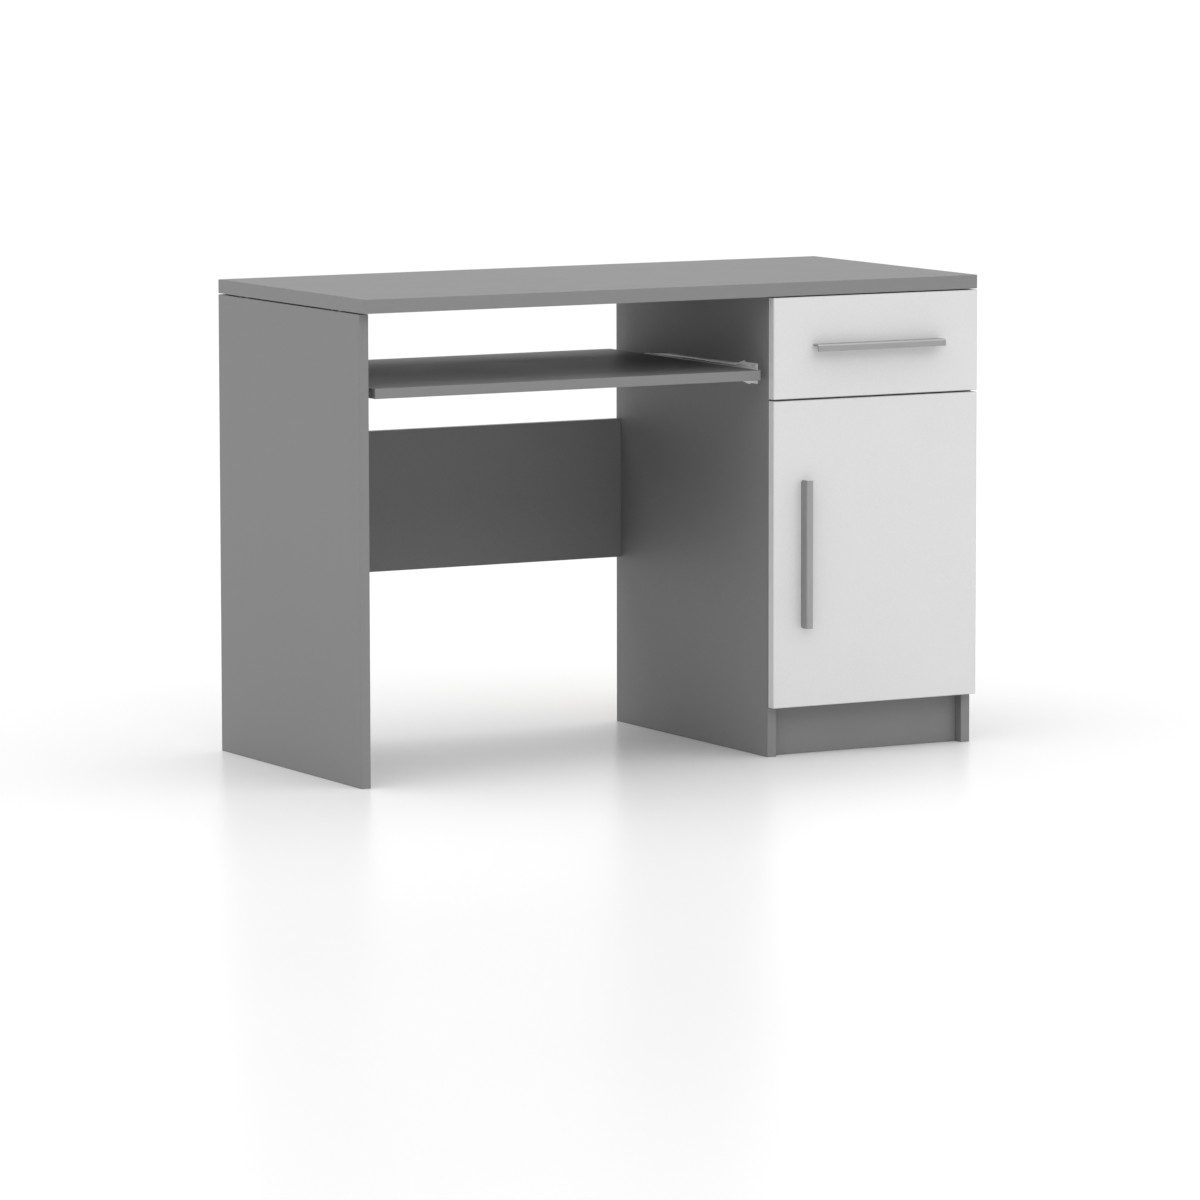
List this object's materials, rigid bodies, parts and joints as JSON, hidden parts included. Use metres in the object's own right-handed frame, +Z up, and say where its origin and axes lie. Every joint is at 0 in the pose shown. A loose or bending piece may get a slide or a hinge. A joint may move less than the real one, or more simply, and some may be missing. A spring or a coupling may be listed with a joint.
{
  "type": "computer desk",
  "caption": "Computer desk of grey melamine board with a pull-out keyboard tray on ball slides, a modesty panel and a pedestal with a drawer and a hinged cupboard door.",
  "frame": {"origin": "on the floor, under the middle of the desk's outline", "axes": "+X to the right along the desk's width, +Y from the user's side to the back, +Z up"},
  "size_m": [1.1, 0.535, 0.757],
  "materials": {
    "grey_melamine": "grey melamine-faced particle board with matching edge band, fine satin texture",
    "pale_melamine": "pale light-grey melamine-faced board with matching edge band, satin",
    "hardboard": "thin hardboard, smooth side in",
    "satin_aluminium": "extruded, satin anodised",
    "zinc_plated_slide": "roll-formed steel, bright zinc plated",
    "cage_strip": "thin pressed steel strip",
    "ball_steel": "polished bearing steel",
    "zinc_casting": "die-cast zinc alloy, matt",
    "zinc_plated_screw": "zinc plated steel",
    "nickel_plated_hinge": "nickel plated pressed steel",
    "beech": "raw turned beech",
    "grey_plastic": "moulded, matt",
    "soft_plastic": "soft moulded pad"
  },
  "bodies": {
    "desk": {"desktop": "grey_melamine", "left_side_panel": "grey_melamine", "pedestal_left_panel": "grey_melamine", "right_side_panel": "grey_melamine", "modesty_panel": "grey_melamine", "plinth": "grey_melamine", "cupboard_floor": "grey_melamine", "drawer_divider": "grey_melamine", "cupboard_back": "hardboard", "cupboard_shelf": "grey_melamine", "shelf_pins": "zinc_plated_screw", "top_spacers": "grey_plastic", "cam_locks": "zinc_casting", "cam_bolts": "zinc_plated_screw", "dowels": "beech", "tray_slide_outer_left": "zinc_plated_slide", "tray_slide_outer_right": "zinc_plated_slide", "tray_slide_screws": "zinc_plated_screw", "drawer_slide_outer_left": "zinc_plated_slide", "drawer_slide_outer_right": "zinc_plated_slide", "drawer_slide_screws": "zinc_plated_screw", "hinge_arms": "nickel_plated_hinge", "hinge_plates": "nickel_plated_hinge", "hinge_plate_screws": "zinc_plated_screw"},
    "tray": {"keyboard_tray": "grey_melamine", "tray_slide_inner_left": "zinc_plated_slide", "tray_slide_inner_right": "zinc_plated_slide", "tray_edge_screws": "zinc_plated_screw"},
    "tray_cages": {"tray_slide_cage_left": "cage_strip", "tray_slide_cage_right": "cage_strip", "tray_slide_balls": "ball_steel"},
    "drawer": {"drawer_front": "pale_melamine", "drawer_side_left": "grey_melamine", "drawer_side_right": "grey_melamine", "drawer_back": "grey_melamine", "drawer_bottom": "hardboard", "drawer_cam_locks": "zinc_casting", "drawer_cam_bolts": "zinc_plated_screw", "drawer_box_screws": "zinc_plated_screw", "drawer_runner_screws": "zinc_plated_screw", "drawer_slide_inner_left": "zinc_plated_slide", "drawer_slide_inner_right": "zinc_plated_slide", "drawer_handle": "satin_aluminium", "drawer_handle_screws": "zinc_plated_screw", "drawer_bumpers": "soft_plastic"},
    "drawer_cages": {"drawer_slide_cage_left": "cage_strip", "drawer_slide_cage_right": "cage_strip", "drawer_slide_balls": "ball_steel"},
    "door": {"door": "pale_melamine", "door_handle": "satin_aluminium", "door_handle_screws": "zinc_plated_screw", "door_bumpers": "soft_plastic", "hinge_cups": "nickel_plated_hinge", "hinge_cup_screws": "zinc_plated_screw"},
    "hinge_links": {"hinge_links": "nickel_plated_hinge"}
  },
  "joints": [
    {"name": "tray_slide", "type": "slide", "parent": "desk", "child": "tray", "axis": [0, -1, 0], "range_m": [0, 0.22]},
    {"name": "tray_cage_roll", "type": "slide", "parent": "desk", "child": "tray_cages", "axis": [0, -1, 0], "range_m": [0, 0.11]},
    {"name": "drawer_slide", "type": "slide", "parent": "desk", "child": "drawer", "axis": [0, -1, 0], "range_m": [0, 0.26]},
    {"name": "drawer_cage_roll", "type": "slide", "parent": "desk", "child": "drawer_cages", "axis": [0, -1, 0], "range_m": [0, 0.13]},
    {"name": "door_swing", "type": "hinge", "parent": "desk", "child": "door", "pos_m": [0.544, -0.2475, 0.3245], "axis": [0, 0, 1], "range_deg": [0, 95]},
    {"name": "hinge_link_swing", "type": "hinge", "parent": "door", "child": "hinge_links", "pos_m": [0.536, -0.2395, 0.3245], "axis": [0, 0, 1], "range_deg": [-95, 0]}
  ],
  "couplings": [
    {"joint": "tray_cage_roll", "follows": "tray_slide", "ratio": 0.5},
    {"joint": "drawer_cage_roll", "follows": "drawer_slide", "ratio": 0.5},
    {"joint": "hinge_link_swing", "follows": "door_swing", "ratio": -1}
  ]
}
